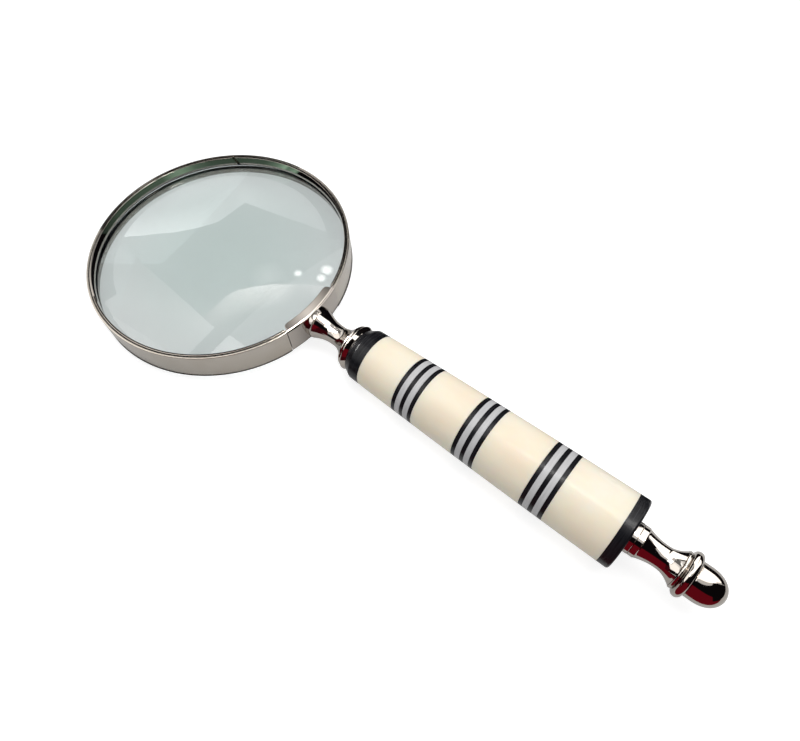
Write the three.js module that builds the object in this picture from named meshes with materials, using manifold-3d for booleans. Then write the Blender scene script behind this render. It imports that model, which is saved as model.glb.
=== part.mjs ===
// Hand magnifying glass lying on a table. A thick lens sits in a narrow metal band whose two ends
// meet a saddle. A turned neck, a barrel of cream, black and grey discs and a screwed finial are
// drawn on to the saddle by one long tie rod. Millimetres, +Z up, +X from the lens to the finial.
import * as THREE from 'three';
import { mergeVertices } from 'three/addons/utils/BufferGeometryUtils.js';
import Module from 'manifold-3d';

const wasm = await Module();
wasm.setup();

// Lens, and the two strips that trap it in the band
const lensRadius = 50.8;
const lensEdge = 4;
const lensCurve = 400;
const stripWall = 0.8;
const slitWidth = 1.1;
const slitAzimuth = THREE.MathUtils.degToRad(128.5);
const slitLean = THREE.MathUtils.degToRad(24);

// Band and saddle
const bandWall = 0.9;
const bandHeight = 12.5;
const saddleLength = 26;
const tabReach = 4;
const tabThickness = 1;
const tabCorner = 1.8;

// Neck and ferrule
const neckFlangeRadius = 6.1;
const neckFlangeThickness = 2.2;
const neckRootRadius = 5.95;
const neckWaistRadius = 3.95;
const neckRootLength = 7.8;
const neckWaistLength = 1.4;
const neckBellLength = 6.1;
const neckBellRadius = 7.4;
const ferruleLipRadius = 8.3;
const ferruleRadius = 9;
const ferruleLength = 3.9;
const ferruleRound = 0.7;

// Barrel: two black collars, four cream pieces, and a group of thin rings in each gap
const frontCollarLength = 7.3;
const frontCollarNose = 3.1;
const frontCollarNoseRadius = 9.1;
const rearCollarLength = 4;
const rearCollarRound = 0.8;
const creamLengths = [16, 17.6, 18.5, 20.2];
const blackRingLength = 1.5;
const greyRingLength = 2.1;
const ringsPerGroup = 5;
const barrelFrontRadius = 10;
const barrelRearRadius = 12.5;
const barrelSwell = 0.42;

// End washer and finial
const washerLength = 2;
const washerRadius = 5.5;
const finialStepLength = 2;
const finialStepRadius = 5.4;
const finialRootRadius = 5.2;
const finialRootLength = 6;
const finialWaistRadius = 4;
const finialWaistLength = 1;
const finialBellLength = 5;
const finialBellRadius = 6.1;
const finialGrooveRadius = 6;
const thinBeadRadius = 6.5;
const thinBeadLength = 1.3;
const thickBeadRadius = 7.85;
const thickBeadLength = 3.3;
const eggRadius = 6.05;
const eggShoulder = 2.4;
const eggLength = 10.4;
const eggPower = 2.4;

// Tie rod, through everything from the saddle to the finial
const rodRadius = 2;
const rodHeadRadius = 2.9;
const rodEngagement = 11;

// Fits
const clearance = 0.3;
const glueLine = 0.05;
const runningGap = 0.1;
const overrun = 1;

// Facets round each kind of piece
const ringSides = 72;
const barrelSides = 28;
const rodSides = 16;
const curveSteps = 5;

// What follows from the sizes above
const bandInner = lensRadius + clearance;
const bandOuter = bandInner + bandWall;
const boreRadius = rodRadius + runningGap;
const saddleAngle = saddleLength / bandOuter / 2;
const seamAngle = clearance / bandOuter;
const rodHeadFace = Math.sqrt(bandInner ** 2 - rodHeadRadius ** 2);

const nickel = { color: 0xb9b4ae, metalness: 1, roughness: 0.12 };
const satinNickel = { color: 0xa8a199, metalness: 1, roughness: 0.35 };
const steel = { color: 0x8d8d8f, metalness: 1, roughness: 0.4 };
const cream = { color: 0xf7ecd8, metalness: 0, roughness: 0.25 };
const black = { color: 0x15151b, metalness: 0, roughness: 0.2 };
const grey = { color: 0xc2c2c7, metalness: 0, roughness: 0.25 };
const glass = { color: 0xc5d3d0, metalness: 0, roughness: 0.03, transparent: true, opacity: 0.4 };

const level = new THREE.Group();

function place(name, geometry, finish) {
  const mesh = new THREE.Mesh(geometry, new THREE.MeshStandardMaterial(finish));
  mesh.name = name;
  level.add(mesh);
}

// Points [x, radius] turned about the X axis
function turned(points, sides) {
  const profile = points.map(([x, radius]) => new THREE.Vector2(radius, x));
  return new THREE.LatheGeometry(profile, sides).rotateZ(-Math.PI / 2);
}

// Points [radius, z] turned about the Z axis
function spun(points) {
  const profile = points.map(([radius, z]) => new THREE.Vector2(radius, z));
  return new THREE.LatheGeometry(profile, ringSides).rotateX(Math.PI / 2);
}

// Closed section of a ring between two radii and two heights
function hoop(inner, outer, low, high) {
  return [[inner, low], [outer, low], [outer, high], [inner, high], [inner, low]];
}

// A turned piece with its outside given as [x, radius] points, bored for the tie rod
function bored(outside) {
  const front = outside[0][0];
  const rear = outside[outside.length - 1][0];
  return turned([[front, boreRadius], ...outside, [rear, boreRadius], [front, boreRadius]], barrelSides);
}

function toSolid(geometry) {
  const bare = new THREE.BufferGeometry();
  bare.setAttribute('position', geometry.getAttribute('position'));
  bare.setIndex(geometry.index);
  const merged = mergeVertices(bare);
  const corners = merged.index.array;
  const kept = [];
  for (let i = 0; i < corners.length; i += 3) {
    const [a, b, c] = corners.subarray(i, i + 3);
    if (a !== b && b !== c && c !== a) kept.push(a, b, c);
  }
  const vertProperties = new Float32Array(merged.getAttribute('position').array);
  const triVerts = new Uint32Array(kept);
  return new wasm.Manifold(new wasm.Mesh({ numProp: 3, vertProperties, triVerts }));
}

function toGeometry(solid) {
  const { vertProperties, triVerts } = solid.getMesh();
  const geometry = new THREE.BufferGeometry();
  geometry.setAttribute('position', new THREE.BufferAttribute(vertProperties, 3));
  geometry.setIndex(new THREE.BufferAttribute(triVerts, 1));
  geometry.computeVertexNormals();
  return geometry;
}

// Points on a curve that leaves [x0, r0] steeply and arrives level at [x1, r1]
function flare([x0, r0], [x1, r1], power) {
  const points = [];
  for (let i = 0; i <= curveSteps; i++) {
    const t = i / curveSteps;
    points.push([x0 + (x1 - x0) * t, r1 + (r0 - r1) * (1 - t) ** power]);
  }
  return points;
}

// Points on a half-round bead that starts at x, stands on the low radius and peaks at the high one
function bead(x, length, low, high) {
  const points = [];
  for (let i = 0; i <= curveSteps; i++) {
    const turn = Math.PI * i / curveSteps;
    points.push([x + length * (1 - Math.cos(turn)) / 2, low + (high - low) * Math.sin(turn)]);
  }
  return points;
}

// Quarter round from a face at x to the outside radius; rise is -1 where the face is at the front
function rounded(x, radius, round, rise) {
  const points = [];
  for (let i = 0; i <= curveSteps; i++) {
    const turn = Math.PI / 2 * i / curveSteps;
    points.push([x - rise * round * (1 - Math.sin(turn)), radius - round * (1 - Math.cos(turn))]);
  }
  return rise > 0 ? points : points.reverse();
}

function lensHeight(radius) {
  const sphere = (r) => Math.sqrt(lensCurve ** 2 - r ** 2);
  return lensEdge / 2 + sphere(radius) - sphere(lensRadius);
}

function makeLens() {
  const front = [];
  for (let i = 0; i <= curveSteps; i++) {
    const radius = lensRadius * (1 - i / curveSteps);
    front.push([radius, lensHeight(radius)]);
  }
  const back = front.map(([radius, z]) => [radius, -z]).reverse();
  place('lens', spun([...back, ...front]), glass);
}

// A wedge of the ring about +X, as long as the saddle and an extra angle at each end
function saddleWedge(inner, outer, low, high, extraAngle) {
  const half = saddleAngle + extraAngle;
  const outline = new THREE.Shape();
  outline.absarc(0, 0, outer, -half, half, false);
  outline.absarc(0, 0, inner, half, -half, true);
  const depth = high - low;
  const options = { depth, bevelEnabled: false, curveSegments: 2 * curveSteps };
  return toSolid(new THREE.ExtrudeGeometry(outline, options).translate(0, 0, low));
}

function makeBand() {
  const top = bandHeight / 2;
  const hoopSolid = toSolid(spun(hoop(bandInner, bandOuter, -top, top)));
  const reach = top + overrun;
  const gap = saddleWedge(bandInner - overrun, bandOuter + overrun, -reach, reach, seamAngle);
  place('lens_ring_band', toGeometry(hoopSolid.subtract(gap)), satinNickel);
}

// One tab over the lens edge, rounded at its two inner corners
function saddleTab(low) {
  const inner = bandOuter - tabReach;
  const cornerAngle = tabCorner / inner;
  const outline = new THREE.Shape();
  const middle = bandOuter - bandWall / 2;
  const side = inner + tabCorner;
  const at = (radius, angle) => [radius * Math.cos(angle), radius * Math.sin(angle)];
  outline.absarc(0, 0, middle, -saddleAngle, saddleAngle, false);
  outline.lineTo(...at(side, saddleAngle));
  outline.quadraticCurveTo(...at(inner, saddleAngle), ...at(inner, saddleAngle - cornerAngle));
  outline.absarc(0, 0, inner, saddleAngle - cornerAngle, cornerAngle - saddleAngle, true);
  outline.quadraticCurveTo(...at(inner, -saddleAngle), ...at(side, -saddleAngle));
  const options = { depth: tabThickness, bevelEnabled: false, curveSegments: 2 * curveSteps };
  return toSolid(new THREE.ExtrudeGeometry(outline, options).translate(0, 0, low));
}

function makeSaddle() {
  const top = bandHeight / 2;
  const wall = saddleWedge(bandInner, bandOuter, -top, top, 0);
  const frontTab = saddleTab(top - tabThickness);
  const backTab = saddleTab(-top);
  const start = rodHeadFace - overrun;
  const end = bandOuter + overrun;
  const sinkRadius = rodHeadRadius + runningGap;
  const sinkEnd = rodHeadFace + rodHeadRadius - rodRadius;
  const hole = turned([
    [start, 0], [start, sinkRadius], [rodHeadFace, sinkRadius],
    [sinkEnd, boreRadius], [end, boreRadius], [end, 0],
  ], rodSides);
  const saddle = wall.add(frontTab).add(backTab).subtract(toSolid(hole));
  place('ring_saddle', toGeometry(saddle), nickel);
}

// Strip that traps the lens, from the glass to the edge of the band, let in under the saddle's tab
function strip(foot, top) {
  const outer = lensRadius;
  const inner = outer - stripWall;
  const ring = toSolid(spun(hoop(inner, outer, foot, top)));
  const tabUnderside = top - tabThickness - clearance;
  const notch = saddleWedge(inner - overrun, outer + overrun, tabUnderside, top + overrun, seamAngle);
  return ring.subtract(notch);
}

function makeStrips() {
  const foot = lensHeight(lensRadius - stripWall) + clearance;
  const top = bandHeight / 2;
  const slit = new THREE.BoxGeometry(stripWall + 2 * overrun, slitWidth, bandHeight);
  slit.rotateX(slitLean).translate(lensRadius - stripWall / 2, 0, (foot + top) / 2).rotateZ(slitAzimuth);
  place('retaining_ring', toGeometry(strip(foot, top).subtract(toSolid(slit))), nickel);
  place('seat_ring', toGeometry(strip(foot, top)).rotateX(Math.PI), nickel);
}

function makeNeck() {
  const root = bandOuter + neckFlangeThickness;
  const waist = root + neckRootLength;
  const bell = waist + neckWaistLength;
  const end = bell + neckBellLength;
  const start = bandInner;
  const outside = [
    [start, neckFlangeRadius], [root, neckFlangeRadius],
    ...flare([root, neckRootRadius], [waist, neckWaistRadius], 2),
    ...flare([end, neckBellRadius], [bell, neckWaistRadius], 2).reverse(),
  ];
  const band = spun(hoop(bandInner - overrun, bandOuter + clearance, -bandHeight, bandHeight));
  const neck = toSolid(bored(outside)).subtract(toSolid(band));
  place('neck', toGeometry(neck), nickel);
  return end;
}

function makeFerrule(start) {
  const end = start + ferruleLength;
  const outside = [
    ...rounded(start, ferruleLipRadius, ferruleRound, -1),
    [start + 2 * ferruleRound, ferruleRadius],
    ...rounded(end, ferruleRadius, ferruleRound, 1),
  ];
  place('neck_ferrule', bored(outside), nickel);
  return end;
}

// The barrel: its outside is one shallow curve, and each piece is a disc cut from it
function makeBarrel(start) {
  const pattern = [['front_collar', frontCollarLength, black]];
  creamLengths.forEach((length, i) => {
    pattern.push([`cream_grip_${i + 1}`, length, cream]);
    if (i === creamLengths.length - 1) return;
    for (let j = 0; j < ringsPerGroup; j++) {
      const dark = j % 2 === 0;
      const kind = dark ? 'black' : 'grey';
      const ringLength = dark ? blackRingLength : greyRingLength;
      pattern.push([`${kind}_ring_${i + 1}_${Math.floor(j / 2) + 1}`, ringLength, dark ? black : grey]);
    }
  });
  pattern.push(['rear_collar', rearCollarLength, black]);

  const length = pattern.reduce((sum, [, pieceLength]) => sum + pieceLength, 0);
  const radiusAt = (x) => {
    const t = (x - start) / length;
    const straight = THREE.MathUtils.lerp(barrelFrontRadius, barrelRearRadius, t);
    return straight + 4 * barrelSwell * t * (1 - t);
  };

  let x = start;
  for (const [name, pieceLength, finish] of pattern) {
    const rear = x + pieceLength - glueLine;
    let outside = [[x, radiusAt(x)], [rear, radiusAt(rear)]];
    if (name === 'front_collar') {
      const nose = x + frontCollarNose;
      outside = [[x, frontCollarNoseRadius], [nose, radiusAt(nose)], [rear, radiusAt(rear)]];
    }
    if (name === 'rear_collar') {
      outside = [[x, radiusAt(x)], ...rounded(rear, radiusAt(rear), rearCollarRound, 1)];
    }
    place(name, bored(outside), finish);
    x += pieceLength;
  }
  return x;
}

function makeEndWasher(start) {
  const end = start + washerLength;
  place('end_washer', bored([[start, washerRadius], [end - glueLine, washerRadius]]), nickel);
  return end;
}

// The finial, which is the rod's nut: it has a blind threaded hole, drawn plain
function makeFinial(start) {
  const root = start + finialStepLength;
  const waist = root + finialRootLength;
  const bell = waist + finialWaistLength;
  const thinBead = bell + finialBellLength;
  const thickBead = thinBead + thinBeadLength;
  const egg = thickBead + thickBeadLength;
  const shoulder = egg + eggShoulder;
  const tip = egg + eggLength;
  const holeEnd = start + rodEngagement + clearance;
  const eggPoints = [];
  for (let i = 0; i <= 2 * curveSteps; i++) {
    const t = Math.sin(Math.PI / 2 * i / (2 * curveSteps));
    eggPoints.push([shoulder + (tip - shoulder) * t, eggRadius * Math.sqrt(1 - t ** eggPower)]);
  }
  const points = [
    [holeEnd, 0], [holeEnd, boreRadius], [start, boreRadius],
    [start, finialStepRadius], [root, finialStepRadius],
    ...flare([root, finialRootRadius], [waist, finialWaistRadius], 1.8),
    ...flare([thinBead, finialBellRadius], [bell, finialWaistRadius], 2).reverse(),
    ...bead(thinBead, thinBeadLength, finialGrooveRadius, thinBeadRadius).slice(1, -1),
    ...bead(thickBead, thickBeadLength, finialGrooveRadius, thickBeadRadius),
    ...eggPoints.slice(0, -1), [tip, 0],
  ];
  place('finial', turned(points, barrelSides), nickel);
}

// Tie rod from its sunk head in the saddle to its thread in the finial
function makeTieRod(finialStart) {
  const headEnd = rodHeadFace + rodHeadRadius - rodRadius;
  const end = finialStart + rodEngagement;
  const points = [
    [rodHeadFace, 0], [rodHeadFace, rodHeadRadius],
    [headEnd, rodRadius], [end, rodRadius], [end, 0],
  ];
  place('tie_rod', turned(points, rodSides), steel);
}

makeLens();
makeBand();
makeSaddle();
makeStrips();
const neckEnd = makeNeck() + glueLine;
const ferruleEnd = makeFerrule(neckEnd) + glueLine;
const barrelEnd = makeBarrel(ferruleEnd);
const washerEnd = makeEndWasher(barrelEnd);
makeFinial(washerEnd);
makeTieRod(washerEnd);

// The slope at which the far edge of the band and the barrel both touch the table
function restingTilt() {
  let tilt = 0;
  for (const { geometry } of level.children) {
    const corners = geometry.getAttribute('position');
    for (let i = 0; i < corners.count; i++) {
      const run = corners.getX(i) + bandOuter;
      const drop = -bandHeight / 2 - corners.getZ(i);
      if (drop > 0) tilt = Math.max(tilt, Math.atan2(drop, run));
    }
  }
  return tilt;
}

level.rotation.y = -restingTilt();
level.updateMatrixWorld(true);
const bounds = new THREE.Box3().setFromObject(level, true);
const middle = bounds.getCenter(new THREE.Vector3());
level.position.set(-middle.x, -middle.y, -bounds.min.z);

const group = new THREE.Group();
group.add(level);

export default group;
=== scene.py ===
# Hand magnifying glass with a round lens in a nickel band and a handle of cream, black and grey
# discs drawn together on one long rod. Each section makes one piece in the order of assembly, at
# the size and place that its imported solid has, and gives it its real finish. Sizes are in
# millimetres from the lens's middle, with +X along the handle, before the glass is laid down.
import math

import bpy
from mathutils import Matrix, Vector


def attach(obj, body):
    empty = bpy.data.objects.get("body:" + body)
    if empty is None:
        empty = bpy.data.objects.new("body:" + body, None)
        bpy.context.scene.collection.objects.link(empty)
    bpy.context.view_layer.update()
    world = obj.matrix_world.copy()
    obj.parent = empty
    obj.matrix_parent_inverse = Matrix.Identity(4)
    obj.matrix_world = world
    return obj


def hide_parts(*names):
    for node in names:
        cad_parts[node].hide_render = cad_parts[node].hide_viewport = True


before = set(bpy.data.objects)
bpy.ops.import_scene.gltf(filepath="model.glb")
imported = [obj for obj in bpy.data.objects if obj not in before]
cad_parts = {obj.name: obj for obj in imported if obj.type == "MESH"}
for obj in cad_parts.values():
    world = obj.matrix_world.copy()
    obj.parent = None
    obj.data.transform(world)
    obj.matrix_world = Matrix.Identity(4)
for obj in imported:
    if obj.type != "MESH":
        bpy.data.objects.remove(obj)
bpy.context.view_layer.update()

# Lens: a disc of slightly green crown glass, ground to the same shallow curve on both faces. Its
# edge is ground with a fine chamfer, and the tint shows strongly where one looks along the glass.
mm = 0.001
weld_gap = 0.001 * mm
lens_radius = 50.8
lens_edge = 4.0
lens_curve = 400.0
lens_chamfer = 0.25
resting_place = (-0.080966088, 0.0, 0.00784111)
resting_tilt = math.radians(-1.756657069)
resting = Matrix.Translation(resting_place) @ Matrix.Rotation(resting_tilt, 4, "Y")


class Shade:
    """One output of a shader node; sums and products on it add Math nodes"""

    def __init__(self, tree, socket=None):
        self.tree = tree
        self.socket = socket

    def node(self, kind, settings=None, inputs=None, output=0):
        """Adds a node: its settings are set first, then its sockets' values or links"""
        made = self.tree.nodes.new(kind)
        for name, value in (settings or {}).items():
            if name == "stops":
                ramp = made.color_ramp.elements
                while len(ramp) < len(value):
                    ramp.new(1.0)
                for stop, (place, color) in zip(ramp, value):
                    stop.position = place
                    stop.color = color
            else:
                setattr(made, name, value)
        for name, value in (inputs or {}).items():
            if isinstance(value, Shade):
                self.tree.links.new(value.socket, made.inputs[name])
            else:
                made.inputs[name].default_value = value
        return Shade(self.tree, made.outputs[output] if made.outputs else None)

    def math(self, operation, first, second):
        return self.node("ShaderNodeMath", {"operation": operation}, {0: first, 1: second})

    def __add__(self, other):
        return self.math("ADD", self, other)

    def __radd__(self, other):
        return self.math("ADD", other, self)

    def __mul__(self, other):
        return self.math("MULTIPLY", self, other)

    def __rmul__(self, other):
        return self.math("MULTIPLY", other, self)


def new_finish(name):
    """An empty material, and the Shade that its nodes start from"""
    material = bpy.data.materials.new(name)
    material.use_nodes = True
    material.node_tree.nodes.clear()
    return material, Shade(material.node_tree)


def start_piece(name):
    """A single point at the origin, in edit mode"""
    bpy.ops.object.select_all(action="DESELECT")
    bpy.ops.mesh.primitive_plane_add(size=mm, location=(0, 0, 0))
    piece = bpy.context.object
    piece.name = name
    bpy.ops.object.mode_set(mode="EDIT")
    bpy.ops.mesh.merge(type="CENTER")
    return piece


def draw(outline):
    """Moves the point to the outline's start and draws it out from point to point"""
    bpy.ops.transform.translate(value=outline[0])
    for here, there in zip(outline, outline[1:]):
        step = Vector(there) - Vector(here)
        bpy.ops.mesh.extrude_region_move(TRANSFORM_OT_translate={"value": step})


def spin(axis, sides, sweep=math.tau):
    """Spins the drawn outline clockwise about an axis through the lens's centre"""
    bpy.ops.mesh.select_all(action="SELECT")
    bpy.ops.mesh.spin(steps=sides, angle=sweep, center=(0, 0, 0), axis=axis)
    bpy.ops.mesh.select_all(action="SELECT")
    bpy.ops.mesh.remove_doubles(threshold=weld_gap)


def finish_piece(piece, material, nodes, body="handle", bevel=0.0, smooth=40, flat=True):
    """Turns the faces out, breaks the edges, lays the piece to rest and hands it to its body"""
    bpy.ops.mesh.select_all(action="SELECT")
    bpy.ops.mesh.normals_make_consistent(inside=False)
    bpy.ops.object.mode_set(mode="OBJECT")
    if bevel:
        rim = piece.modifiers.new("broken edges", "BEVEL")
        rim.width = bevel * mm
        rim.segments = 3
        rim.limit_method = "ANGLE"
        rim.angle_limit = math.radians(smooth)
        bpy.ops.object.modifier_apply(modifier=rim.name)
    bpy.ops.object.shade_smooth_by_angle(angle=math.radians(smooth))
    if flat:
        even = piece.modifiers.new("flats shine flat", "WEIGHTED_NORMAL")
        even.keep_sharp = True
        bpy.ops.object.modifier_apply(modifier=even.name)
    piece.matrix_world = resting
    bpy.ops.object.transform_apply(location=True, rotation=True, scale=True)
    piece.data.materials.append(material)
    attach(piece, body)
    if nodes:
        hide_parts(*nodes)


def turned(name, outline, sides=128):
    """A piece turned about the handle's axis, from points of place and radius in millimetres"""
    piece = start_piece(name)
    draw([(x * mm, 0, radius * mm) for x, radius in outline])
    spin((1, 0, 0), sides)
    return piece


def spun(name, outline, sides=192):
    """A piece spun about the lens's axis, from points of radius and height in millimetres"""
    piece = start_piece(name)
    draw([(radius * mm, 0, height * mm) for radius, height in outline])
    spin((0, 0, 1), sides)
    return piece


glass, start = new_finish("crown_glass")
clear = start.node(
    "ShaderNodeBsdfPrincipled",
    None,
    {
        "Base Color": (0.635, 0.645, 0.652, 1),
        "Roughness": 0.0,
        "IOR": 1.52,
        "Transmission Weight": 1.0,
    },
)
tint = start.node(
    "ShaderNodeVolumeAbsorption", None, {"Color": (0.55, 0.74, 0.68, 1), "Density": 40.0}
)
start.node("ShaderNodeOutputMaterial", None, {"Surface": clear, "Volume": tint})


def lens_height(radius):
    """Height of the lens's upper face over its middle plane"""
    return (
        lens_edge / 2
        + math.sqrt(lens_curve**2 - radius**2)
        - math.sqrt(lens_curve**2 - lens_radius**2)
    )


face_steps = 20
face_radius = lens_radius - lens_chamfer
lens_face = [face_radius * (1 - i / face_steps) for i in range(face_steps + 1)]
upper = [(radius, lens_height(radius)) for radius in lens_face]
lower = [(radius, -height) for radius, height in reversed(upper)]
edge = lens_edge / 2 - lens_chamfer
lens = spun("ground_lens", lower + [(lens_radius, -edge), (lens_radius, edge)] + upper)
finish_piece(lens, glass, ["lens"], smooth=20, flat=False)

# Band: a flat strip of nickel-plated brass rolled into an open ring, its rims rounded over. It
# is polished and then lightly brushed along its length. Its near seam at the saddle shows as a
# line, and its far one is closed up tight.
band_inner = 51.1
band_outer = 52.0
band_top = 6.25
band_round = 0.28
band_sides = 200
saddle_length = 26.0
saddle_half_angle = saddle_length / 2 / band_outer
seam_width = 0.3
seam_angle = seam_width / band_outer
far_seam_share = 0.1

satin, start = new_finish("satin_nickel")
place = start.node("ShaderNodeTexCoord", output="Object")
fine = start.node("ShaderNodeMapping", None, {"Vector": place, "Scale": (60, 60, 2600)})
lines = start.node(
    "ShaderNodeTexNoise", None, {"Vector": fine, "Scale": 1.0, "Detail": 4.0, "Roughness": 0.6}
)
clouds = start.node(
    "ShaderNodeTexNoise", None, {"Vector": place, "Scale": 45.0, "Detail": 3.0, "Roughness": 0.5}
)
tone = start.node(
    "ShaderNodeValToRGB",
    {"stops": [(0.3, (0.46, 0.42, 0.365, 1)), (0.7, (0.54, 0.505, 0.455, 1))]},
    {"Fac": clouds},
)
brushed = start.node(
    "ShaderNodeBump", None, {"Height": lines, "Strength": 0.05, "Distance": 0.0002}
)
surface = start.node(
    "ShaderNodeBsdfPrincipled",
    None,
    {
        "Base Color": tone,
        "Metallic": 1.0,
        "Roughness": 0.16 + 0.10 * lines,
        "Normal": brushed,
    },
)
start.node("ShaderNodeOutputMaterial", None, {"Surface": surface})


def rim_arc(radius, height, round_off, first, last, steps=4):
    """Points of a rounded corner, by its centre, its radius and its first and last directions"""
    points = []
    for i in range(steps + 1):
        turn = math.radians(first + (last - first) * i / steps)
        points.append((radius + round_off * math.cos(turn), height + round_off * math.sin(turn)))
    return points


inside = band_inner + band_round
outside = band_outer - band_round
rim = band_top - band_round
band_section = (
    rim_arc(outside, -rim, band_round, -90, 0)
    + rim_arc(outside, rim, band_round, 0, 90)
    + rim_arc(inside, rim, band_round, 90, 180)
    + rim_arc(inside, -rim, band_round, 180, 270)
)
band_section.append(band_section[0])
band = start_piece("rolled_band")
near_end = -saddle_half_angle - seam_angle
far_end = saddle_half_angle + far_seam_share * seam_angle
section_points = [Vector((radius * mm, 0, height * mm)) for radius, height in band_section]
draw([Matrix.Rotation(near_end, 3, "Z") @ point for point in section_points])
spin((0, 0, 1), band_sides, math.tau + near_end - far_end)
bpy.ops.mesh.fill_holes(sides=0)
finish_piece(band, satin, ["lens_ring_band"])

# Strips: two thin rings sprung into the band that trap the lens between them. The front one is
# split with a slanting slit at the far side, and both are let in under the saddle's tabs.
strip_wall = 0.8
strip_round = 0.15
strip_gap = 0.35
strip_foot = lens_height(lens_radius - strip_wall) + strip_gap

bright, start = new_finish("bright_nickel")
place = start.node("ShaderNodeTexCoord", output="Object")
wear = start.node(
    "ShaderNodeTexNoise", None, {"Vector": place, "Scale": 240.0, "Detail": 5.0, "Roughness": 0.65}
)
clouds = start.node(
    "ShaderNodeTexNoise", None, {"Vector": place, "Scale": 60.0, "Detail": 2.0, "Roughness": 0.5}
)
tone = start.node(
    "ShaderNodeValToRGB",
    {"stops": [(0.3, (0.43, 0.39, 0.35, 1)), (0.7, (0.48, 0.445, 0.41, 1))]},
    {"Fac": clouds},
)
dimples = start.node(
    "ShaderNodeBump", None, {"Height": clouds, "Strength": 0.03, "Distance": 0.0006}
)
surface = start.node(
    "ShaderNodeBsdfPrincipled",
    None,
    {"Base Color": tone, "Metallic": 1.0, "Roughness": 0.03 + 0.05 * wear, "Normal": dimples},
)
start.node("ShaderNodeOutputMaterial", None, {"Surface": surface})

strip_inside = lens_radius - strip_wall + strip_round
strip_outside = lens_radius - strip_round
strip_rim = band_top - strip_round
strip_section = (
    [(lens_radius - strip_wall, strip_foot), (lens_radius, strip_foot)]
    + rim_arc(strip_outside, strip_rim, strip_round, 0, 90, 3)
    + rim_arc(strip_inside, strip_rim, strip_round, 90, 180, 3)
)
strip_section.append(strip_section[0])


def cut_away(piece, cutter):
    """Cuts the cutter's shape out of a piece, and leaves the piece in edit mode"""
    for solid in (cutter, piece):
        if bpy.context.mode != "OBJECT":
            bpy.ops.object.mode_set(mode="OBJECT")
        bpy.ops.object.select_all(action="DESELECT")
        solid.select_set(True)
        bpy.context.view_layer.objects.active = solid
        bpy.ops.object.mode_set(mode="EDIT")
        bpy.ops.mesh.select_all(action="SELECT")
        bpy.ops.mesh.normals_make_consistent(inside=False)
    bpy.ops.object.mode_set(mode="OBJECT")
    cut = piece.modifiers.new("cut", "BOOLEAN")
    cut.operation = "DIFFERENCE"
    cut.object = cutter
    bpy.ops.object.modifier_apply(modifier=cut.name)
    bpy.data.objects.remove(cutter)
    bpy.ops.object.mode_set(mode="EDIT")


notch_inner = 49.5
notch_outer = 51.5
notch_foot = 5.0
notch_top = 6.6
notch_half_angle = saddle_half_angle + seam_angle
notch_section = [(notch_inner, notch_foot), (notch_outer, notch_foot)]
notch_section += [(notch_outer, notch_top), (notch_inner, notch_top), notch_section[0]]
saddle_sides = 24
slit_azimuth = math.radians(128.5)
slit_lean = math.radians(-24)
slit_radius = 50.4
slit_height = 4.4
slit_size = (2.4, 1.1, 8.0)
for name, node, side in (("split_strip", "retaining_ring", 1), ("seat_strip", "seat_ring", -1)):
    strip = spun(name, [(radius, side * height) for radius, height in strip_section])
    bpy.ops.object.mode_set(mode="OBJECT")
    notch = start_piece("notch")
    first_turn = Matrix.Rotation(notch_half_angle, 3, "Z")
    draw([
        first_turn @ Vector((radius * mm, 0, side * height * mm))
        for radius, height in notch_section
    ])
    spin((0, 0, 1), saddle_sides, 2 * notch_half_angle)
    bpy.ops.mesh.fill_holes(sides=0)
    cut_away(strip, notch)
    if side > 0:
        bpy.ops.object.mode_set(mode="OBJECT")
        bpy.ops.object.select_all(action="DESELECT")
        slit_x = slit_radius * mm * math.cos(slit_azimuth)
        slit_y = slit_radius * mm * math.sin(slit_azimuth)
        bpy.ops.mesh.primitive_cube_add(
            size=1,
            location=(slit_x, slit_y, slit_height * mm),
            rotation=(slit_lean, 0, slit_azimuth),
            scale=[length * mm for length in slit_size],
        )
        cut_away(strip, bpy.context.object)
    finish_piece(strip, bright, [node])

# Gap shades: thin dark rings of black resin, run in all round between the glass and each strip,
# and between the lens's edge and the band. They fill the gaps that let the lens sit without
# strain, and they are painted shade: dark pieces set where shadow falls in those gaps.
black, start = new_finish("black_resin")
place = start.node("ShaderNodeTexCoord", output="Object")
along = start.node("ShaderNodeMapping", None, {"Vector": place, "Scale": (2400, 90, 90)})
sanding = start.node(
    "ShaderNodeTexNoise", None, {"Vector": along, "Scale": 1.0, "Detail": 3.0, "Roughness": 0.6}
)
tone = start.node(
    "ShaderNodeValToRGB",
    {"stops": [(0.3, (0.004, 0.004, 0.005, 1)), (0.75, (0.015, 0.015, 0.019, 1))]},
    {"Fac": sanding},
)
grooves = start.node(
    "ShaderNodeBump", None, {"Height": sanding, "Strength": 0.12, "Distance": 0.0002}
)
surface = start.node(
    "ShaderNodeBsdfPrincipled",
    None,
    {
        "Base Color": tone,
        "Roughness": 0.17 + 0.16 * sanding,
        "Normal": grooves,
        "IOR": 1.5,
        "Specular IOR Level": 0.15,
    },
)
start.node("ShaderNodeOutputMaterial", None, {"Surface": surface})

shade_ring_gap = 0.02
shade_ring_inset = 0.05
shade_ring_inner = lens_radius - strip_wall + shade_ring_inset
shade_ring_low = lens_height(lens_radius) + shade_ring_gap
shade_ring_high = strip_foot - shade_ring_gap
shade_ring_section = [(shade_ring_inner, shade_ring_low + shade_ring_inset), (lens_radius, shade_ring_low)]
shade_ring_section += [(lens_radius, shade_ring_high), (shade_ring_inner, shade_ring_high), shade_ring_section[0]]
# Each of these rings is painted shade in the gap between the glass and a strip.
for name, side in (("front_glazing_bead", 1), ("back_glazing_bead", -1)):
    gap_shade = spun(name, [(radius, side * height) for radius, height in shade_ring_section])
    finish_piece(gap_shade, black, [])

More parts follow.
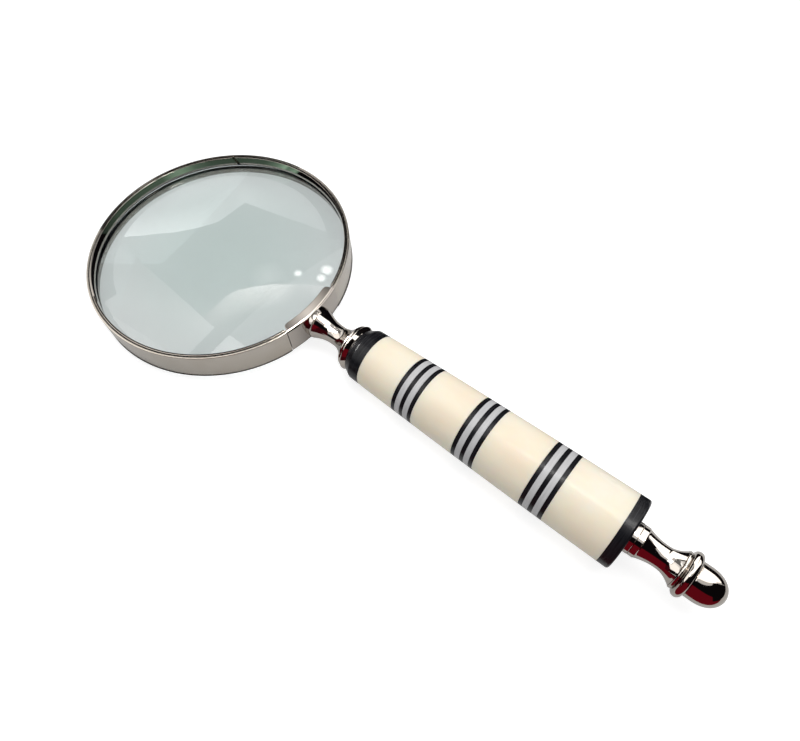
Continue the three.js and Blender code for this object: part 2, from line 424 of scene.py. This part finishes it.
edge_shade_inner = 50.84
edge_shade_outer = 51.06
edge_shade_low = -0.9
edge_shade_high = 1.85
edge_shade_section = [(edge_shade_inner, edge_shade_low), (edge_shade_outer, edge_shade_low)]
edge_shade_section += [(edge_shade_outer, edge_shade_high), (edge_shade_inner, edge_shade_high), edge_shade_section[0]]
# This ring is painted shade in the gap between the lens's edge and the band.
edge_gap_shade = spun("edge_gap_shade", edge_shade_section)
finish_piece(edge_gap_shade, black, [])

# Saddle: a cast nickel channel between the band's two ends. Its tabs lap over both faces of the
# lens's edge, with rounded corners, and its outer edge is rounded off more than the band's.
saddle_round = 1.0
wall_sink = 0.15
tab_inner = 48.0
tab_thickness = 1.0
tab_drop = 0.14
tab_corner = 1.8
tab_root = 0.3
tab_easing = 0.3
tab_end_angle = 0.01
tab_steps = 12
corner_steps = 8
rod_sides = 48

wall_inside = band_inner - wall_sink
wall_section = (
    rim_arc(band_outer - saddle_round, -band_top + saddle_round, saddle_round, -90, 0, 6)
    + rim_arc(band_outer - saddle_round, band_top - saddle_round, saddle_round, 0, 90, 6)
    + [(wall_inside, band_top), (wall_inside, -band_top)]
)
wall_section.append(wall_section[0])
saddle = start_piece("saddle")
section_points = [Vector((radius * mm, 0, height * mm)) for radius, height in wall_section]
draw([Matrix.Rotation(saddle_half_angle, 3, "Z") @ point for point in section_points])
spin((0, 0, 1), saddle_sides, 2 * saddle_half_angle)
bpy.ops.mesh.fill_holes(sides=0)
bpy.ops.mesh.select_all(action="SELECT")
bpy.ops.mesh.normals_make_consistent(inside=False)
bpy.ops.object.mode_set(mode="OBJECT")
seat_front = 50.5
seat_flat = 51.0
seat_radius = 2.95
seat_foot = 51.95
seat_bore = 2.04
seat_rear = 52.6
seat_outline = [(seat_front, 0), (seat_front, seat_radius), (seat_flat, seat_radius)]
seat_outline += [(seat_foot, seat_bore), (seat_rear, seat_bore), (seat_rear, 0)]
cut_away(saddle, turned("head_seat", seat_outline, rod_sides))
bpy.ops.object.mode_set(mode="OBJECT")

edge_angle = saddle_half_angle - tab_end_angle
corner_angle = tab_corner / tab_inner
tab_outline = []
for i in range(2 * tab_steps + 1):
    turn = edge_angle * (i / tab_steps - 1)
    tab_outline.append((wall_inside + tab_root, turn))
for i in range(corner_steps + 1):
    turn = math.pi / 2 * i / corner_steps
    radius = tab_inner + tab_corner * (1 - math.sin(turn))
    tab_outline.append((radius, edge_angle - corner_angle * (1 - math.cos(turn))))
for i in range(1, 2 * tab_steps):
    turn = (edge_angle - corner_angle) * (1 - i / tab_steps)
    tab_outline.append((tab_inner, turn))
for i in range(corner_steps, -1, -1):
    turn = math.pi / 2 * i / corner_steps
    radius = tab_inner + tab_corner * (1 - math.sin(turn))
    tab_outline.append((radius, corner_angle * (1 - math.cos(turn)) - edge_angle))
tab_outline.append(tab_outline[0])
front_foot = band_top - tab_drop - tab_thickness
back_foot = tab_drop - band_top
for name, foot in (("front_tab", front_foot), ("back_tab", back_foot)):
    tab = start_piece(name)
    draw([
        (radius * math.cos(turn) * mm, radius * math.sin(turn) * mm, foot * mm)
        for radius, turn in tab_outline
    ])
    bpy.ops.mesh.select_all(action="SELECT")
    bpy.ops.mesh.remove_doubles(threshold=weld_gap)
    bpy.ops.mesh.edge_face_add()
    rise = {"value": (0, 0, tab_thickness * mm)}
    bpy.ops.mesh.extrude_region_move(TRANSFORM_OT_translate=rise)
    bpy.ops.mesh.select_all(action="SELECT")
    bpy.ops.mesh.normals_make_consistent(inside=False)
    bpy.ops.object.mode_set(mode="OBJECT")
    eased = tab.modifiers.new("eased edges", "BEVEL")
    eased.width = tab_easing * mm
    eased.segments = 3
    eased.limit_method = "ANGLE"
    eased.angle_limit = math.radians(50)
    bpy.ops.object.modifier_apply(modifier=eased.name)
    saddle.select_set(True)
    bpy.context.view_layer.objects.active = saddle
    bpy.ops.object.join()
bpy.ops.object.mode_set(mode="EDIT")
finish_piece(saddle, bright, ["ring_saddle"], smooth=35)

# Neck: turned brass, nickel plated and polished, waisted like a trumpet. Its flange is hollowed
# to sit on the curve of the saddle, and it flares at the rear to meet the ferrule.
neck_start = 51.6
neck_end = 69.5
neck_waist = 3.95
flange_radius = 6.1
bore = 2.1
cutter_gap = 0.03
cutter_sides = 400
cutter_depth = 30


def flare(start, length, waist, rise, power, narrows, steps=16):
    """Points of a curved length that narrows down to a waist, or else widens from it"""
    points = []
    for i in range(steps + 1):
        t = i / steps
        share = 1 - t if narrows else t
        points.append((start + length * t, waist + rise * share**power))
    return points


neck_outline = [(neck_start, bore), (neck_start, 5.85), (51.75, flange_radius)]
neck_outline += [(53.7, flange_radius), (53.95, 6.02), (54.1, 5.78), (54.2, 5.62)]
neck_outline += flare(54.35, 7.65, neck_waist, rise=1.95, power=2.0, narrows=True)
neck_outline.append((62.7, 3.93))
neck_outline += flare(63.4, 6.0, neck_waist, rise=3.4, power=2.1, narrows=False)
neck_outline += [(neck_end, 7.3), (neck_end, bore), neck_outline[0]]
neck = turned("trumpet_neck", neck_outline)
bpy.ops.object.mode_set(mode="OBJECT")
bpy.ops.object.select_all(action="DESELECT")
bpy.ops.mesh.primitive_cylinder_add(
    vertices=cutter_sides, radius=(band_outer + cutter_gap) * mm, depth=cutter_depth * mm
)
cut_away(neck, bpy.context.object)
finish_piece(neck, bright, ["neck"], smooth=35)

# Ferrule: a turned nickel cap with a thin lip and a bead that slopes away behind. It seats the
# barrel's front on the neck's bell, and the collar's nose meets it in a narrow groove.
ferrule_start = 69.55
ferrule_end = 73.45
ferrule_radius = 9.0
lip_setback = 0.75
lip_radius = 7.65
lip_round = 0.68
ferrule_outline = [(ferrule_start, bore), (ferrule_start, 7.2), (ferrule_start + 0.08, 7.62)]
ferrule_outline += rim_arc(ferrule_start + lip_setback, lip_radius, lip_round, 165, 30, 8)
ferrule_outline += [(71.0, 8.12), (71.06, 8.42), (71.18, 8.72), (71.36, 8.92)]
ferrule_outline.append((71.6, ferrule_radius))
ferrule_outline += [(71.8, 8.96), (72.0, 8.86), (72.4, 8.62), (73.0, 8.24), (73.4, 7.97)]
ferrule_outline += [(ferrule_end, 7.9), (ferrule_end, bore), (ferrule_start, bore)]
ferrule = turned("lipped_ferrule", ferrule_outline)
finish_piece(ferrule, bright, ["neck_ferrule"], smooth=30)

# Front collar: black cast resin, turned with a tapered nose that narrows to the ferrule. It is
# slipped on the rod like all the barrel's discs, and glued to the first cream one.
barrel_start = 73.5
barrel_length = 109.7
barrel_front_radius = 10.0
barrel_growth = 2.5
barrel_swell = 0.42
glue_line = 0.05
front_collar_end = 80.75
nose_length = 2.9
nose_radius = 8.4
shoulder_round = 0.25


def barrel_radius(x):
    """Radius of the barrel, which tapers to the front and swells a little in the middle"""
    t = (x - barrel_start) / barrel_length
    return barrel_front_radius + barrel_growth * t + 4 * barrel_swell * t * (1 - t)


def disc_outline(front, rear, steps):
    """Outline of a bored disc of the barrel, which follows the barrel's long curve"""
    outline = [(front, bore)]
    for i in range(steps + 1):
        x = front + (rear - front) * i / steps
        outline.append((x, barrel_radius(x)))
    return outline + [(rear, bore), (front, bore)]


shoulder = barrel_start + nose_length
front_outline = [
    (barrel_start, bore),
    (barrel_start, nose_radius),
    (barrel_start + 0.08, 8.52),
    (shoulder - shoulder_round, 9.97),
    (shoulder, 10.06),
    (shoulder + shoulder_round, barrel_radius(shoulder + shoulder_round)),
    (front_collar_end, barrel_radius(front_collar_end)),
    (front_collar_end, bore),
    (barrel_start, bore),
]
front_collar = turned("nosed_collar", front_outline)
finish_piece(front_collar, black, ["front_collar"], smooth=35)

# Cream grips: four long discs of polished cream resin that looks like bone, faintly clouded.
# Black and grey rings lie between them in three groups. All are bored for the rod, glued end to
# end and turned to one curve, with a fine line left at each joint.
cream_lengths = (16.0, 17.6, 18.5, 20.2)
ring_lengths = {"black": 1.5, "grey": 2.1}
rings_in_group = 5
disc_bevel = 0.03
disc_start = 80.8

cream, start = new_finish("cream_resin")
place = start.node("ShaderNodeTexCoord", output="Object")
drift = start.node("ShaderNodeMapping", None, {"Vector": place, "Scale": (38, 60, 60)})
clouds = start.node(
    "ShaderNodeTexNoise", None, {"Vector": drift, "Scale": 1.0, "Detail": 3.0, "Roughness": 0.55}
)
tone = start.node(
    "ShaderNodeValToRGB",
    {
        "stops": [
            (0.30, (0.95, 0.81, 0.64, 1)),
            (0.50, (0.97, 0.86, 0.69, 1)),
            (0.70, (0.95, 0.88, 0.75, 1)),
        ]
    },
    {"Fac": clouds},
)
surface = start.node(
    "ShaderNodeBsdfPrincipled",
    None,
    {
        "Base Color": tone,
        "Roughness": 0.22 + 0.08 * clouds,
        "IOR": 1.5,
        "Specular IOR Level": 0.1,
        "Subsurface Weight": 0.25,
        "Subsurface Radius": (0.006, 0.003, 0.0015),
        "Subsurface Scale": 1.0,
    },
)
start.node("ShaderNodeOutputMaterial", None, {"Surface": surface})

grey, start = new_finish("grey_resin")
place = start.node("ShaderNodeTexCoord", output="Object")
along = start.node("ShaderNodeMapping", None, {"Vector": place, "Scale": (1800, 120, 120)})
sanding = start.node(
    "ShaderNodeTexNoise", None, {"Vector": along, "Scale": 1.0, "Detail": 3.0, "Roughness": 0.6}
)
tone = start.node(
    "ShaderNodeValToRGB",
    {"stops": [(0.3, (0.52, 0.515, 0.525, 1)), (0.7, (0.60, 0.595, 0.60, 1))]},
    {"Fac": sanding},
)
surface = start.node(
    "ShaderNodeBsdfPrincipled",
    None,
    {
        "Base Color": tone,
        "Roughness": 0.2 + 0.12 * sanding,
        "IOR": 1.5,
        "Specular IOR Level": 0.15,
    },
)
start.node("ShaderNodeOutputMaterial", None, {"Surface": surface})

for i, cream_length in enumerate(cream_lengths, start=1):
    grip_outline = disc_outline(disc_start, disc_start + cream_length - glue_line, 8)
    grip = turned(f"cream_disc_{i}", grip_outline)
    finish_piece(grip, cream, [f"cream_grip_{i}"], bevel=disc_bevel, smooth=30)
    disc_start += cream_length
    if i == len(cream_lengths):
        break
    for j in range(rings_in_group):
        name, resin = ("black", black) if j % 2 == 0 else ("grey", grey)
        length = ring_lengths[name]
        node = f"{name}_ring_{i}_{j // 2 + 1}"
        ring_outline = disc_outline(disc_start, disc_start + length - glue_line, 1)
        ring = turned(f"{name}_disc_{i}_{j // 2 + 1}", ring_outline)
        finish_piece(ring, resin, [node], bevel=disc_bevel, smooth=30)
        disc_start += length

# Rear collar: black resin like the front one, its rear edge rounded over. The washer and the
# finial press on its flat end and so hold the whole barrel together.
rear_collar_length = 3.95
rear_round = 0.8
rear_start = disc_start
rear_end = rear_start + rear_collar_length
rear_outline = (
    [(rear_start, bore), (rear_start, barrel_radius(rear_start))]
    + rim_arc(rear_end - rear_round, barrel_radius(rear_end) - rear_round, rear_round, 90, 0, 8)
    + [(rear_end, bore), (rear_start, bore)]
)
rear_collar = turned("rounded_collar", rear_outline)
finish_piece(rear_collar, black, ["rear_collar"], bevel=disc_bevel, smooth=30)

# End washer: a plain turned nickel washer that spreads the finial's pull over the black collar.
# It slides on the rod, and comes back with the finial as that is unscrewed.
washer_start = 183.2
washer_end = 185.15
washer_radius = 5.5
washer_outline = [(washer_start, bore), (washer_start, 5.38), (washer_start + 0.12, washer_radius)]
washer_outline += [(washer_end - 0.15, washer_radius), (washer_end, 5.35), (washer_end, bore)]
washer_outline.append((washer_start, bore))
washer = turned("turned_washer", washer_outline)
finish_piece(washer, bright, ["end_washer"], body="washer", smooth=30)

# Finial: turned and polished nickel with a waist, two beads and an egg. It is the nut that draws
# the whole handle together, so its front is bored and tapped.
finial_start = 185.2
finial_bore_end = 196.5
finial_step = 5.4
finial_waist = 4.0
bead_foot = 5.95
egg_start = 206.2
egg_length = 8.0
egg_radius = 6.05
egg_power = 2.4
egg_steps = 24


def bead(middle, half_length, rise, power, steps):
    """Points of a rounded bead on the finial, from its front round to its rear"""
    points = []
    for i in range(steps + 1):
        turn = math.pi * i / steps
        stand = bead_foot + rise * math.sin(turn) ** power
        points.append((middle - half_length * math.cos(turn), stand))
    return points


finial_outline = [(finial_bore_end, 0), (finial_bore_end, bore), (finial_start, bore)]
finial_outline += [(finial_start, 5.28), (finial_start + 0.12, finial_step)]
finial_outline += [(187.1, finial_step), (187.22, 5.3)]
finial_outline += flare(187.3, 5.95, finial_waist, rise=1.2, power=1.8, narrows=True)
finial_outline.append((193.7, 3.99))
finial_outline += flare(194.2, 4.95, finial_waist, rise=2.05, power=2, narrows=False)
finial_outline.append((199.25, 5.9))
finial_outline += bead(199.85, half_length=0.6, rise=0.55, power=1, steps=8)
finial_outline.append((200.6, 5.85))
finial_outline += bead(202.15, half_length=1.6, rise=1.9, power=0.85, steps=14)
finial_outline += [(203.85, 5.75), (203.95, 5.95), (204.3, egg_radius)]
for i in range(egg_steps + 1):
    t = math.sin(math.pi / 2 * i / egg_steps)
    egg_share = math.sqrt(max(0.0, 1 - t**egg_power))
    finial_outline.append((egg_start + egg_length * t, egg_radius * egg_share))
finial = turned("egg_finial", finial_outline)
finish_piece(finial, bright, ["finial"], body="finial", smooth=32)

# Tie rod: a steel rod with a sunk head in the saddle. It is plain through the barrel and has a
# rolled thread of 0.7 mm pitch at its rear end, which shows when the finial is unscrewed.
steel, start = new_finish("bare_steel")
place = start.node("ShaderNodeTexCoord", output="Object")
along = start.node("ShaderNodeMapping", None, {"Vector": place, "Scale": (120, 1500, 1500)})
drawn = start.node(
    "ShaderNodeTexNoise", None, {"Vector": along, "Scale": 1.0, "Detail": 3.0, "Roughness": 0.6}
)
tone = start.node(
    "ShaderNodeValToRGB",
    {"stops": [(0.3, (0.30, 0.29, 0.28, 1)), (0.7, (0.42, 0.42, 0.42, 1))]},
    {"Fac": drawn},
)
surface = start.node(
    "ShaderNodeBsdfPrincipled",
    None,
    {"Base Color": tone, "Metallic": 1.0, "Roughness": 0.25 + 0.2 * drawn},
)
start.node("ShaderNodeOutputMaterial", None, {"Surface": surface})

rod_start = 51.02
rod_end = 196.2
rod_radius = 2.0
head_radius = 2.9
head_end = 51.92
pitch = 0.7
thread_start = 172.0
thread_turns = 34
thread_steps = 32
thread_root = 1.62
thread_foot = thread_root - 0.05
rod_outline = [(rod_start, 0), (rod_start, head_radius), (head_end, rod_radius)]
rod_outline += [(thread_start, rod_radius), (thread_start + 0.4, thread_root)]
rod_outline += [(rod_end, thread_root), (rod_end, 0)]
rod = turned("threaded_rod", rod_outline, rod_sides)
bpy.ops.object.mode_set(mode="OBJECT")
thread = start_piece("rolled_thread")
tooth = [(0, thread_foot), (0.06, thread_foot), (0.31, rod_radius), (0.39, rod_radius)]
tooth += [(0.64, thread_foot), (pitch, thread_foot)]
draw([((thread_start + along_pitch) * mm, 0, radius * mm) for along_pitch, radius in tooth])
bpy.ops.object.mode_set(mode="OBJECT")
helix = thread.modifiers.new("helix", "SCREW")
helix.axis = "X"
helix.screw_offset = pitch * mm
helix.iterations = thread_turns
helix.steps = thread_steps
helix.render_steps = thread_steps
helix.use_merge_vertices = True
helix.merge_threshold = weld_gap
bpy.ops.object.modifier_apply(modifier=helix.name)
rod.select_set(True)
bpy.context.view_layer.objects.active = rod
bpy.ops.object.join()
bpy.ops.object.mode_set(mode="EDIT")
finish_piece(rod, steel, ["tie_rod"])

# Studio: a pale floor under an even white light, seen by the camera from above the near side.
# Cards, dark flags and small lamps stand round the glass where only gloss or glass sees them, as a
# product photographer sets them, because polished metal shows nothing but what stands round it.
# Curved flags laid right over the ring, and a dark ring round its foot, seen only by gloss, are
# painted reflection and painted shade.
scene = bpy.context.scene
scene.view_settings.view_transform = "Standard"
camera_data = bpy.data.cameras.new("camera")
camera_data.lens = 28.929
camera_data.sensor_width = 36.0
camera_data.clip_start = 0.005
camera = bpy.data.objects.new("camera", camera_data)
camera.location = (0.0817668, -0.0816469, 0.2125614)
camera.rotation_euler = [math.radians(angle) for angle in (28.75747, 1.06334, 38.8507)]
scene.collection.objects.link(camera)
scene.camera = camera


def ray_kinds(start):
    """Three Shades, which are 1 for rays from the camera, off gloss and through glass"""
    outputs = ("Is Camera Ray", "Is Glossy Ray", "Is Transmission Ray")
    return [start.node("ShaderNodeLightPath", output=output) for output in outputs]


even_light = 0.5
world = bpy.data.worlds.new("plain_light")
world.use_nodes = True
world.node_tree.nodes.clear()
start = Shade(world.node_tree)
seen, mirrored, through = ray_kinds(start)
shown = seen + mirrored + through
back = start.node(
    "ShaderNodeBackground",
    None,
    {"Color": (1, 1, 1, 1), "Strength": even_light + (1 - even_light) * shown},
)
start.node("ShaderNodeOutputWorld", None, {"Surface": back})
scene.world = world

pale, start = new_finish("pale_floor")
seen, mirrored, through = ray_kinds(start)
shown = 0.76 * seen + 0.24 * mirrored + 0.36 * through
lit = start.node("ShaderNodeBsdfDiffuse", None, {"Color": (0.5, 0.5, 0.5, 1)})
glow = start.node("ShaderNodeEmission", None, {"Strength": shown})
both = start.node("ShaderNodeAddShader", None, {0: lit, 1: glow})
start.node("ShaderNodeOutputMaterial", None, {"Surface": both})
bpy.ops.object.select_all(action="DESELECT")
bpy.ops.mesh.primitive_plane_add(size=8.0, location=(0, 0, 0))
floor = bpy.context.object
floor.name = "floor"
floor.data.materials.append(pale)


def hang(sheet, color, strength, in_gloss, in_glass):
    """Makes a flat sheet a stage card that only gloss or glass sees, lit by its own glow"""
    paper, start = new_finish(sheet.name)
    shade = (*color, 1)
    if "glow" in sheet.data.attributes:
        glow = start.node("ShaderNodeAttribute", {"attribute_name": "glow"}, output="Fac")
        shade = start.node(
            "ShaderNodeVectorMath", {"operation": "SCALE"}, {"Vector": color, "Scale": glow}
        )
    shine = start.node("ShaderNodeEmission", None, {"Color": shade, "Strength": strength})
    start.node("ShaderNodeOutputMaterial", None, {"Surface": shine})
    sheet.matrix_world = resting @ sheet.matrix_world
    sheet.data.materials.append(paper)
    sheet.visible_camera = False
    sheet.visible_diffuse = False
    sheet.visible_shadow = False
    sheet.visible_volume_scatter = False
    sheet.visible_glossy = in_gloss
    sheet.visible_transmission = in_glass


def set_glows(sheet, glows):
    """Gives each point of a sheet its own share of the sheet's glow"""
    levels = sheet.data.attributes.new("glow", "FLOAT", "POINT")
    levels.data.foreach_set("value", glows)


def card(name, corners, color, strength, glows=()):
    """A card for gloss, from corners in millimetres, each with its own glow if glows are given"""
    sheet = start_piece(name)
    draw([Vector(corner) * mm for corner in (*corners, corners[0])])
    bpy.ops.mesh.select_all(action="SELECT")
    bpy.ops.mesh.remove_doubles(threshold=weld_gap)
    bpy.ops.mesh.edge_face_add()
    bpy.ops.object.mode_set(mode="OBJECT")
    if glows:
        nearest = []
        for point in sheet.data.vertices:
            gaps = [(point.co - Vector(corner) * mm).length for corner in corners]
            nearest.append(glows[gaps.index(min(gaps))])
        set_glows(sheet, nearest)
    hang(sheet, color, strength, True, False)


def fading_card(name, edge, depth, low, color, in_gloss, in_glass):
    """A card beyond the lens, brightest at its upper edge, which fades as it comes down"""
    sheet = start_piece(name)
    draw([(far * wall_distance + across * side + up * height) * mm for side, height, glow in edge])
    bpy.ops.mesh.select_all(action="SELECT")
    for fall in (depth, wall_skirt):
        drop = {"value": (0, 0, -fall * mm)}
        bpy.ops.mesh.extrude_region_move(TRANSFORM_OT_translate=drop)
    bpy.ops.object.mode_set(mode="OBJECT")
    set_glows(sheet, [glow for side, height, glow in edge] + [low] * (2 * len(edge)))
    hang(sheet, color, 1.0, in_gloss, in_glass)


wall_azimuth = math.radians(150)
wall_distance = 400
wall_skirt = 250
far = Vector((math.cos(wall_azimuth), math.sin(wall_azimuth), 0))
across = Vector((-far.y, far.x, 0))
up = Vector((0, 0, 1))
front_edge = [
    (300, 110, 2.8), (250, 178, 3.2), (189, 239, 3.5), (144, 279, 3.6), (90, 314, 3.6),
    (47, 327, 3.5), (13, 329, 2.6), (-17, 310, 2.1), (-42, 291, 2.4), (-81, 335, 1.9),
    (-123, 378, 1.3), (-178, 429, 1.1), (-260, 500, 1.0),
]
fading_card("far_wall", front_edge, 75, 1.2, (1, 1, 1), True, False)
back_edge = [
    (100, 40, 3), (96, 100, 4), (88, 159, 7), (75, 214, 12), (57, 262, 13.5), (43, 281, 13.5),
    (29, 293, 11), (19, 286, 8), (9, 264, 5), (-1, 236, 3), (-14, 312, 2.2), (-33, 395, 1.4),
    (-56, 475, 1.1), (-80, 560, 1),
]
fading_card("far_wall_in_glass", back_edge, 110, 1.2, (1.0, 0.80, 0.80), False, True)


def upright(first, last, low, high):
    """Corners of an upright sheet that stands between two places"""
    return [(*first, low), (*last, low), (*last, high), (*first, high)]


def lying(corner, opposite, height):
    """Corners of a level sheet at a height"""
    near = [(*corner, height), (opposite[0], corner[1], height)]
    return near + [(*opposite, height), (corner[0], opposite[1], height)]


white = (1.0, 0.985, 0.965)
nearly_black = (0.006, 0.005, 0.006)
dark_red = (0.20, 0.006, 0.014)
very_dark_red = (0.07, 0.006, 0.010)
card("side_wall", upright((130, 350), (500, 350), 0, 650), white, 3.1)
card("left_wall", upright((-250, -500), (-250, -60), 80, 700), white, 2.2)
left_dim = [(-250, -60, 130), (-250, 11, 130), (-250, 36, 519), (-250, -60, 519)]
card("left_dim", left_dim, white, 1.0, (1.5, 0.5, 2.1, 1.8))
card("softbox", lying((-200, -250), (80, 40), 500), white, 3.6)
overhead_edge = [(-20, -60), (230, -60), (550, 350), (-20, 350)]
card("overhead", [(x, y, 450) for x, y in overhead_edge], white, 3.3)
strip_edge = [(60, -10), (180, -10), (190, 10), (230, 30)]
strip_edge += [(230, 120), (190, 100), (178, 35), (60, 30)]
card("strip_light", [(x, y, 430) for x, y in strip_edge], white, 26.0)
card("shoulder_light", upright((54.7, -13.6), (54.7, 0), 19, 27), white, 60.0)
card("behind_barrel", upright((178, 16), (178, 200), 5, 300), white, 3.1)
for name, first, last, low, high in (
    ("collar_dark", (150, 250), (204, 250), 80, 290),
    ("left_low_dark", (-130, 250), (20, 250), -20, 170),
    ("flare_dark", (60, 90), (125, 45), 40, 125),
    ("low_dark", (20, 250), (460, 250), -20, 90),
    ("neck_dark", (-20, 130), (160, 130), -12, 150),
    ("left_dark", (-250, -500), (-250, -60), -10, 80),
    ("left_end_dark", (-250, -60), (-250, 60), -10, 80),
    ("near_low_dark", (-250, -250), (-20, -250), -10, 110),
    ("near_dark", (-20, -250), (520, -250), 170, 620),
    ("end_dark", (520, -300), (520, 300), -24, 700),
):
    card(name, upright(first, last, low, high), nearly_black, 1.0)
far_dark_distance = 390
far_dark_edge = [(-300, -10), (300, -10), (300, 130), (-300, 130)]
far_dark = [far * far_dark_distance + across * side + up * height for side, height in far_dark_edge]
card("far_dark", far_dark, nearly_black, 1.0)
card("dark_above", [(235, -250, 460), (600, -250, 460), (600, 350, 460)], nearly_black, 1.0)
card("dim_ceiling", lying((-900, -300), (-210, 900), 520), (1, 1, 1), 0.28)
card("neck_red_card", upright((-20, -250), (110, -250), -12, 170), very_dark_red, 1.0)
card("red_card", upright((110, -250), (520, -250), -24, 170), dark_red, 1.0)
cloth_drop = -7.5
cloth_slope = -0.0307
neck_cloth = [(60, -30), (120, -30), (120, -250), (40, -250), (40, -70)]
red_cloth = [(120, -30), (170, -30), (185, -20), (520, -20), (520, -250), (120, -250)]
far_cloth = [(70, 24), (188, 24), (188, 250), (20, 250), (34, 66)]
end_cloth = [(188, 110), (460, 110), (460, 250), (188, 250)]
for name, color, cloth in (
    ("neck_cloth", very_dark_red, neck_cloth),
    ("red_cloth", dark_red, red_cloth),
    ("far_cloth", nearly_black, far_cloth),
    ("end_cloth", nearly_black, end_cloth),
):
    card(name, [(x, y, cloth_drop + cloth_slope * x) for x, y in cloth], color, 1.0)


# Flags lie so close over the ring that only its own walls, rims and glass show them: painted shade
# when dark, and a painted reflection when they glow.
def flag(name, first, last, span, color, glows=(), shift=(0, 0)):
    """A curved card over the ring between two azimuths, by its two radii and its height

    Its glows are given by azimuth, and it glows evenly between them.
    """
    inner, outer, height = span
    angles = range(first, last + 1, 2)
    sheet = start_piece(name)
    draw([
        (
            (outer * math.cos(math.radians(angle)) + shift[0]) * mm,
            (outer * math.sin(math.radians(angle)) + shift[1]) * mm,
            height * mm,
        )
        for angle in angles
    ])
    bpy.ops.mesh.select_all(action="SELECT")
    bpy.ops.mesh.extrude_region_move()
    bpy.ops.transform.resize(
        value=(inner / outer, inner / outer, 1),
        center_override=(shift[0] * mm, shift[1] * mm, height * mm),
    )
    bpy.ops.object.mode_set(mode="OBJECT")
    if glows:
        arc = []
        for angle in angles:
            after = next(i for i, (azimuth, glow) in enumerate(glows) if azimuth >= angle)
            before_angle, before_glow = glows[max(after - 1, 0)]
            after_angle, after_glow = glows[max(after, 1)]
            share = (angle - before_angle) / (after_angle - before_angle)
            arc.append(before_glow + (after_glow - before_glow) * share)
        set_glows(sheet, arc * 2)
    hang(sheet, color, 1.0, True, False)


over_glass = (43.0, 49.7, 3.1)
over_rim = (50.1, 53.2, 7.2)
over_strip = (49.85, 50.95, 7.2)
strip_shift = (-0.90, 0.48)
# Dark flags over the glass: painted shade in the inner walls' reflections at the left and the far
# side.
flag("left_flag", 206, 246, over_glass, nearly_black)
flag("far_flag", 46, 96, over_glass, nearly_black)
# A green flag whose glow rises at two azimuths: a painted reflection, the far inner wall's greenish
# sheen and its two highlights.
green_reflection_glows = (
    (96, 0.15), (100, 0.45), (104, 0.75), (108, 0.35), (114, 0.16), (128, 0.12), (142, 0.15),
    (150, 0.28), (156, 0.55), (160, 0.5), (166, 0.2), (178, 0.15), (194, 0.12), (206, 0.06),
)
flag("green_reflection_flag", 96, 206, over_glass, (0.62, 1.0, 0.76), green_reflection_glows)
# Dark flags over the far rim and the strips' tops: painted shade, seen as dark lines along them.
flag("far_rim_flag", 96, 206, over_rim, (0.02, 0.025, 0.022))
flag("near_strip_flag", 246, 344, over_strip, nearly_black, (), strip_shift)
flag("right_strip_flag", 16, 96, over_strip, nearly_black, (), strip_shift)
# A nearly black ring on the floor round the band's foot, seen only by gloss: painted contact
# shadow, which the band's lower edge shows as a dark line.
foot_shadow_ring = spun("foot_shadow_ring", [(51.6, -6.35), (52.7, -6.35)])
bpy.ops.object.mode_set(mode="OBJECT")
hang(foot_shadow_ring, nearly_black, 1.0, True, False)

for name, azimuth, elevation, spot, distance, radius, peak in (
    ("far_lamp", 134.9, 55.4, (33.6, 10.4, 3.7), 500, 10, 15),
    ("near_lamp", 126.2, 54.5, (40.7, 18.8, 2.7), 500, 15, 18),
    ("near_lamp_foot", 127.4, 56.4, (40.9, 14.7, 2.9), 500, 12, 16),
    ("tab_glow", 146, 53.5, (50, 0, 6), 625, 50, 1.6),
):
    level_share = math.cos(math.radians(elevation))
    way = Vector((
        level_share * math.cos(math.radians(azimuth)),
        level_share * math.sin(math.radians(azimuth)),
        math.sin(math.radians(elevation)),
    ))
    middle = Vector(spot) + distance * way
    bpy.ops.object.select_all(action="DESELECT")
    bpy.ops.mesh.primitive_circle_add(
        vertices=32,
        radius=radius * mm,
        fill_type="TRIFAN",
        location=middle * mm,
        rotation=way.to_track_quat("Z", "Y").to_euler(),
    )
    lamp = bpy.context.object
    lamp.name = name
    set_glows(lamp, [float(point.co.length < 0.1 * mm) for point in lamp.data.vertices])
    hang(lamp, white, peak, True, False)

key_data = bpy.data.lights.new("soft_key", "AREA")
key_data.shape = "RECTANGLE"
key_data.size = 0.9
key_data.size_y = 0.7
key_data.energy = 5.4
key = bpy.data.objects.new("soft_key", key_data)
key.location = (-0.08, 0.22, 0.86)
key.rotation_euler = (-key.location).to_track_quat("-Z", "Y").to_euler()
key.visible_glossy = False
scene.collection.objects.link(key)
